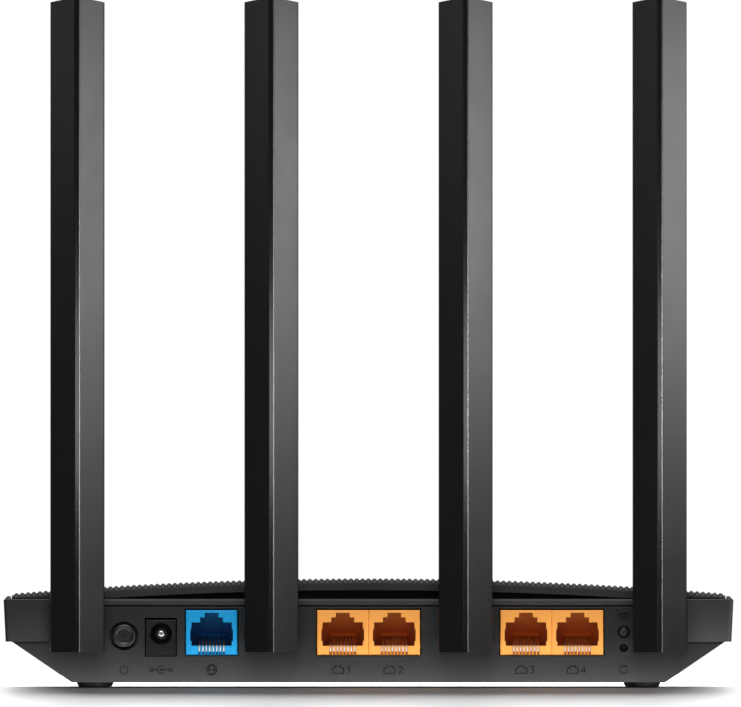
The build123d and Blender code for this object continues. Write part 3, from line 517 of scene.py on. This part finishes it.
def make_marks():
    """Power, polarity, network, port number, pairing and reset marks, in place of any lettering, drawn near
    black as painted shade.
    """
    small_x = middle("wps_button").x
    placed = [(line, middle("power_button").x) for line in power_symbol(1.15)]
    placed += [(line, middle("dc_jack_pin").x) for line in POLARITY]
    placed += [(line, middle("wan_jack").x) for line in GLOBE]
    for number in LAN_PORTS:
        port_x = middle(f"lan_jack_{number}").x
        placed.append((PLUG_OUTLINE, port_x + PLUG_SHIFT))
        placed += [(line, port_x + NUMERAL_SHIFT) for line in NUMERALS[number]]
    placed += [(line, small_x) for line in RESET_ARROW]
    rows = [(line, x, MARK_ROW, PANEL_FACE) for line, x in placed]
    rows += [(line, small_x, PAIRING_ROW, PANEL_FACE) for line in PAIRING_ARCS]
    # the moulded marks are drawn near black and matt: painted shade, as falls in engraved letters
    return mark_object("panel_marks_painted_shade", rows, "root", (0.0015, 0.0015, 0.0016), 0.08)


def cap_mark(button, lines, colour, gloss):
    """A raised symbol in the middle of a button's cap, moving with it."""
    spot = middle(button)
    face = face_at(button, spot.x, spot.z)
    rows = [(line, spot.x, spot.z, face) for line in lines]
    return mark_object(button + "_mark", rows, body_of(button), colour, gloss)


# ---------------------------------------------------------------- floor, world and lights
FLOOR_HALF = 1.8
FLOOR_BACK = 0.75
FLOOR_EDGE = REAR_FACE - 3 * MM        # where the level part under the router ends
FLOOR_SLOPE = 0.08
FLOOR_BEND = 12 * MM                   # length over which the floor turns into the slope
BEND_STEPS = 8
FLOOR_STEP = 0.1
FLOOR_STEPS = 15
SEEN_WHITE = 1.02                      # world as the camera sees it
WORLD_LIGHT = 0.10                     # world as it lights the object


def floor_height(y):
    """Level under the router, falling away gently in front of its rear face."""
    run = FLOOR_EDGE - y
    if run <= 0:
        return FLOOR_Z
    fall = FLOOR_SLOPE * (run * run / (2 * FLOOR_BEND) if run < FLOOR_BEND else run - FLOOR_BEND / 2)
    return FLOOR_Z - fall


def make_floor():
    """Pale ground that the object neither mirrors nor is lit by."""
    stations = [FLOOR_BACK, FLOOR_EDGE]
    stations += [FLOOR_EDGE - FLOOR_BEND * i / BEND_STEPS for i in range(1, BEND_STEPS + 1)]
    stations += [FLOOR_EDGE - FLOOR_STEP * i for i in range(1, FLOOR_STEPS + 1)]
    points = []
    for y in stations:
        z = floor_height(y)
        points += [(-FLOOR_HALF, y, z), (FLOOR_HALF, y, z)]
    faces = [(2 * i + 2, 2 * i + 3, 2 * i + 1, 2 * i) for i in range(len(stations) - 1)]
    mesh = bpy.data.meshes.new("floor")
    mesh.from_pydata(points, [], faces)
    for face in mesh.polygons:
        face.use_smooth = True
    floor = link("floor", mesh)
    floor.visible_glossy = False
    floor.visible_diffuse = False
    material, tree, shader = new_material("floor")
    tone = spread(tree, noise(tree, 3.0), 0.0, 1.0)
    pale = blend_colours(tree, tone, (0.90, 0.90, 0.90), (0.92, 0.92, 0.92))
    tree.links.new(pale, shader.inputs["Base Color"])
    shader.inputs["Roughness"].default_value = 0.6
    shader.inputs["Specular IOR Level"].default_value = 0.2
    mesh.materials.append(material)
    return floor


def make_world():
    """White behind the object, dimmer for the light that reaches it."""
    world = bpy.data.worlds.new("studio")
    bpy.context.scene.world = world
    world.use_nodes = True
    tree = world.node_tree
    tree.nodes.clear()
    output = tree.nodes.new("ShaderNodeOutputWorld")
    mix = tree.nodes.new("ShaderNodeMixShader")
    path = tree.nodes.new("ShaderNodeLightPath")
    tree.links.new(path.outputs["Is Camera Ray"], mix.inputs["Fac"])
    for socket, strength in ((1, WORLD_LIGHT), (2, SEEN_WHITE)):
        background = tree.nodes.new("ShaderNodeBackground")
        background.inputs["Color"].default_value = (1.0, 1.0, 1.0, 1.0)
        background.inputs["Strength"].default_value = strength
        tree.links.new(background.outputs["Background"], mix.inputs[socket])
    tree.links.new(mix.outputs["Shader"], output.inputs["Surface"])


def softbox(name, place, aim, size, radiance, lit=None):
    """A rectangular lamp of even brightness, hidden from the camera; lit limits what it shines on."""
    data = bpy.data.lights.new(name, "AREA")
    data.shape = "RECTANGLE"
    data.size, data.size_y = size
    data.energy = radiance * math.pi * size[0] * size[1]
    lamp = bpy.data.objects.new(name, data)
    bpy.context.scene.collection.objects.link(lamp)
    lamp.location = place
    direction = Vector(aim) - Vector(place)
    lamp.rotation_euler = direction.to_track_quat("-Z", "Y").to_euler()
    lamp.visible_camera = False
    if lit:
        group = bpy.data.collections.new(name + "_lit")
        for obj in lit:
            group.objects.link(obj)
        lamp.light_linking.receiver_collection = group


def make_lights(antennas, case, rim, floor):
    """Floor, fill, side and edge lamps, in metres; strips lie low in front of the rear face."""
    both = antennas + case
    foot_y = PANEL_FACE - 26 * MM
    rim_y = REAR_FACE - 20 * MM
    back, centre = (0.0, 1.35, 0.95), (0.0, 0.0, 0.0)
    softbox("back_box", back, centre, (2.6, 0.9), 12.8, [floor])
    softbox("back_fill", back, centre, (2.6, 0.9), 3.2, both)
    softbox("top_box", (0.0, 0.0, 0.95), centre, (0.9, 0.5), 1.6, both)
    softbox("key_box", (0.0, -1.6, 1.9), centre, (1.6, 0.8), 14.5, both)
    softbox("right_box", (0.70, -0.215, 0.160), (0.0, -0.06, 0.160), (0.40, 0.12), 7.0)
    softbox("left_box", (-0.70, -0.215, 0.240), (0.0, -0.06, 0.240), (0.40, 0.14), 0.50, antennas)
    softbox("edge_box", (-0.80, 0.330, 0.080), (0.0, -0.06, 0.080), (0.30, 0.30), 1.6, antennas)
    softbox("glint_box", (0.36, -0.56, 0.095), (0.0, -0.06, 0.095), (0.10, 0.05), 130.0, antennas)
    softbox("ridge_bar", (0.0, -0.42, 0.087), (0.0, 0.0, 0.087), (0.40, 0.055), 3.6, antennas)
    softbox("foot_strip", (0.02, foot_y, -0.008), (0.02, PANEL_FACE, 0.007), (0.36, 0.014), 7.5, case)
    softbox("rim_strip", (0.05, rim_y, 0.004), (0.05, REAR_FACE, 0.020), (0.28, 0.008), 3.2, rim)


# ---------------------------------------------------------------- assembly
bpy.context.scene.view_settings.view_transform = "Standard"
MATERIALS = make_materials()
make_camera()
FLOOR = make_floor()
make_world()

SLOTS = slot_of()
for node, slot_name in SLOTS.items():
    dress(NODES[node], slot_name)

# Widths in mm of the rounded edges
ROUNDING = {"rear_panel": 0.14, "upper_shell": 0.12, "wan_jack": 0.03, "dc_jack_housing": 0.08,
            "rubber_feet": 0.40, "lower_shell": 0.15, "power_button": 0.16}
ROUNDING.update({f"lan_jack_{number}": 0.03 for number in LAN_PORTS})
ANTENNA_ROUNDING = 0.32
ANTENNA_LONG_EDGE = 20 * MM            # only edges this long are rounded on an antenna
shown = {node: NODES[node] for node in SLOTS}
for node, width in ROUNDING.items():
    shown[node] = softened(node, width * MM)
    dress(shown[node], SLOTS[node])
for number in ANTENNAS:
    node = f"antenna_{number}_shell"
    shown[node] = softened(node, ANTENNA_ROUNDING * MM, segments=4, least=ANTENNA_LONG_EDGE)
    dress(shown[node], SLOTS[node])
    refinish(shown[node], "antenna_ridge", RIDGE_Y)
# the contact fronts get the paler copy of their metal: painted highlight
refinish(shown["jack_contacts"], "contact_painted_highlight", CONTACT_Y)
shown["dc_jack_pin"] = smooth_pin("dc_jack_pin")
dress(shown["dc_jack_pin"], SLOTS["dc_jack_pin"])
# the panel marks carry painted shade in their near-black colour
shown["panel_marks_painted_shade"] = make_marks()
shown["power_button_mark"] = cap_mark("power_button", power_symbol(1.2), (0.030, 0.030, 0.031), 0.4)
shown["wps_button_mark"] = cap_mark("wps_button", CAP_ARC, (0.060, 0.060, 0.061), 0.5)

antenna_names = tuple(f"antenna_{number}_" for number in ANTENNAS)
antenna_parts = [obj for node, obj in shown.items() if node.startswith(antenna_names)]
case_parts = [obj for node, obj in shown.items() if obj not in antenna_parts]
make_lights(antenna_parts, case_parts, [shown["upper_shell"]], FLOOR)
